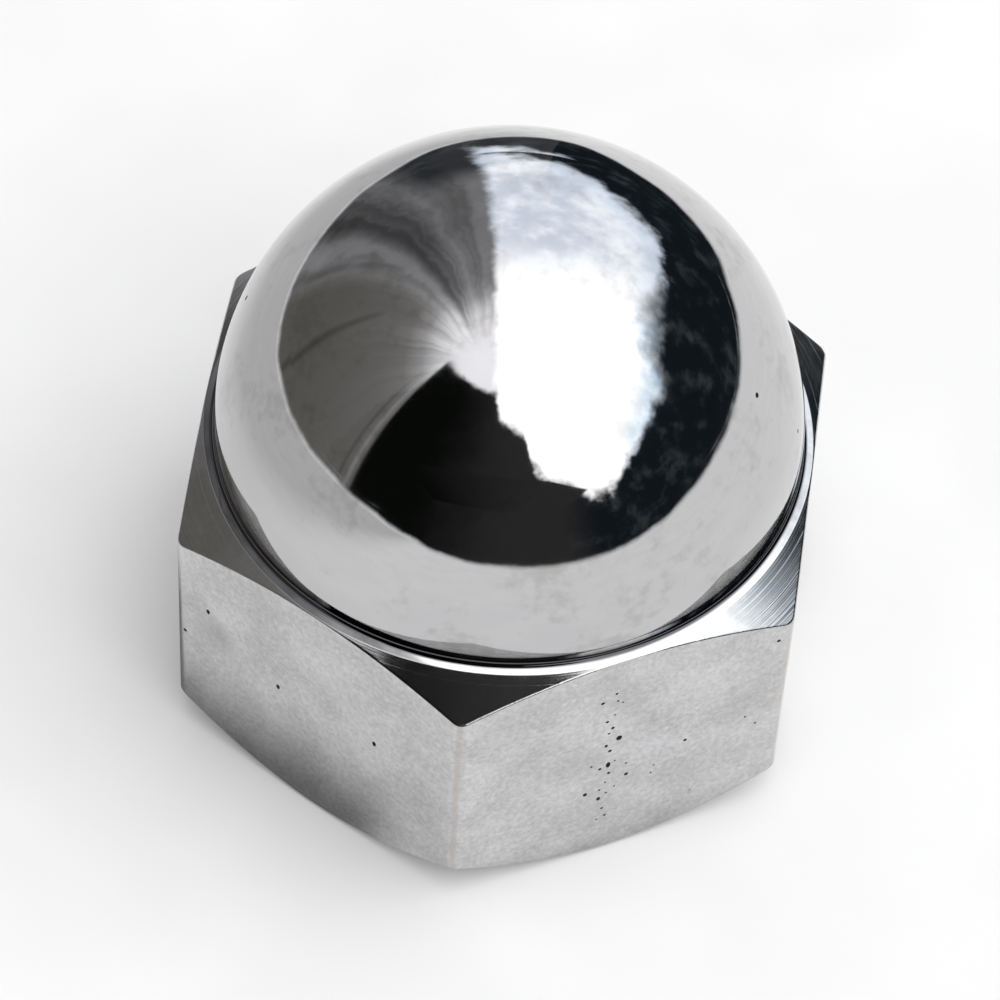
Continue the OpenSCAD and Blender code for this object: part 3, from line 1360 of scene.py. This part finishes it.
card_black = bpy.data.materials.new("card_black")
tree, where = start_material(card_black)
along_card = parts_of(where)["X"]
tone = blend(between(along_card, CARD_DARK_END, CARD_PALE_END), DOORWAY_BLACK, PLAIN_DARK)
end_material(glow_of(tree, tone))
card = new_object("black_card", bpy.ops.mesh.primitive_plane_add, size=1, location=CARD_CENTRE)
card.scale = CARD_SIZE
bpy.ops.object.transform_apply(location=True, scale=True)
bpy.ops.object.mode_set(mode="EDIT")
bpy.ops.mesh.select_mode(type="VERT")
select_verts(card.data, lambda place: place.x > 0)
bpy.ops.mesh.extrude_region_move(TRANSFORM_OT_translate={"value": (CARD_WING, 0, 0)})
select_verts(card.data, lambda place: place.x > CARD_WING + MM and place.y > CARD_CENTRE[1])
bpy.ops.transform.translate(value=(0, CARD_TAPER, 0))
bpy.ops.object.mode_set(mode="OBJECT")
# Painted dark reflection: the card is seen by mirror rays alone.
only_mirrored(card, card_black)
print("card", [round(c / MM, 1) for c in card.dimensions], "mm")

# %% [markdown]
# ## Shade on the floor
#
# Last, a clear sheet on the floor is shaded close to the nut's foot, so that the
# lower part of the flats is darker than the floor's own shadow makes it, and on
# the left, so that the left of the dome is a little darker too.

# %% Shade on the floor
SHADE_R = 0.5
SHADE_LIFT = 0.05 * MM
SHADE_SCALE = 220.0
SHADE_UNEVEN = 1.4 * MM
LEFT_SHADE = 0.33
LEFT_SHADE_WAY = (-0.95, 0.31, 0)
LEFT_SHADE_FROM = 15 * MM
LEFT_SHADE_FULL = 50 * MM
BLACK = (0, 0, 0, 1)
# Azimuth of a flat, reach of the shade in front of it and its strength, then the
# middle of the shade along the flat, and how far from there it fades and is gone
FOOT_SHADES = [
    (radians(-30), 3.4 * MM, 0.68, -5.5 * MM, 6.5 * MM, 10 * MM),
    (radians(30), 1.2 * MM, 0.22, 0.0, 7.0 * MM, 9.0 * MM),
]

foot_shade = bpy.data.materials.new("foot_shade")
tree, where = start_material(foot_shade)
uneven = minus(cloud_of(where, SHADE_SCALE, detail=3.0), 1 / 2)
uneven = times(uneven, SHADE_UNEVEN)
leftward = vector_maths("DOT_PRODUCT", where, LEFT_SHADE_WAY)["Value"]
shade = between(leftward, LEFT_SHADE_FROM, LEFT_SHADE_FULL, 0, LEFT_SHADE)
for flat_azimuth, reach, strength, middle, fade_from, fade_to in FOOT_SHADES:
    out_way = (sin(flat_azimuth), -cos(flat_azimuth), 0)
    along_way = (cos(flat_azimuth), sin(flat_azimuth), 0)
    out = vector_maths("DOT_PRODUCT", where, out_way)["Value"]
    along = vector_maths("DOT_PRODUCT", where, along_way)["Value"]
    near = between(plus(out, uneven), FLAT_R + reach, FLAT_R, 0, strength)
    aside = maths("ABSOLUTE", minus(along, middle))
    near = times(near, between(aside, fade_to, fade_from))
    near = times(near, maths("GREATER_THAN", out, 0.0))
    shade = maths("MAXIMUM", shade, near)
clear = add(tree, "ShaderNodeBsdfTransparent").outputs["BSDF"]
end_material(mix_shaders(shade, clear, glow_of(tree, BLACK)))
shade_sheet = round_sheet("shade_sheet", SHADE_R, SHADE_LIFT)
only_mirrored(shade_sheet, foot_shade)
print("shades on the floor:", len(FOOT_SHADES), "at the foot, one on the left")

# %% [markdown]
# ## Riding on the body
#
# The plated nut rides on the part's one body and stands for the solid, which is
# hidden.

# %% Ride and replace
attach(nut, "root")
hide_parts(NODE)
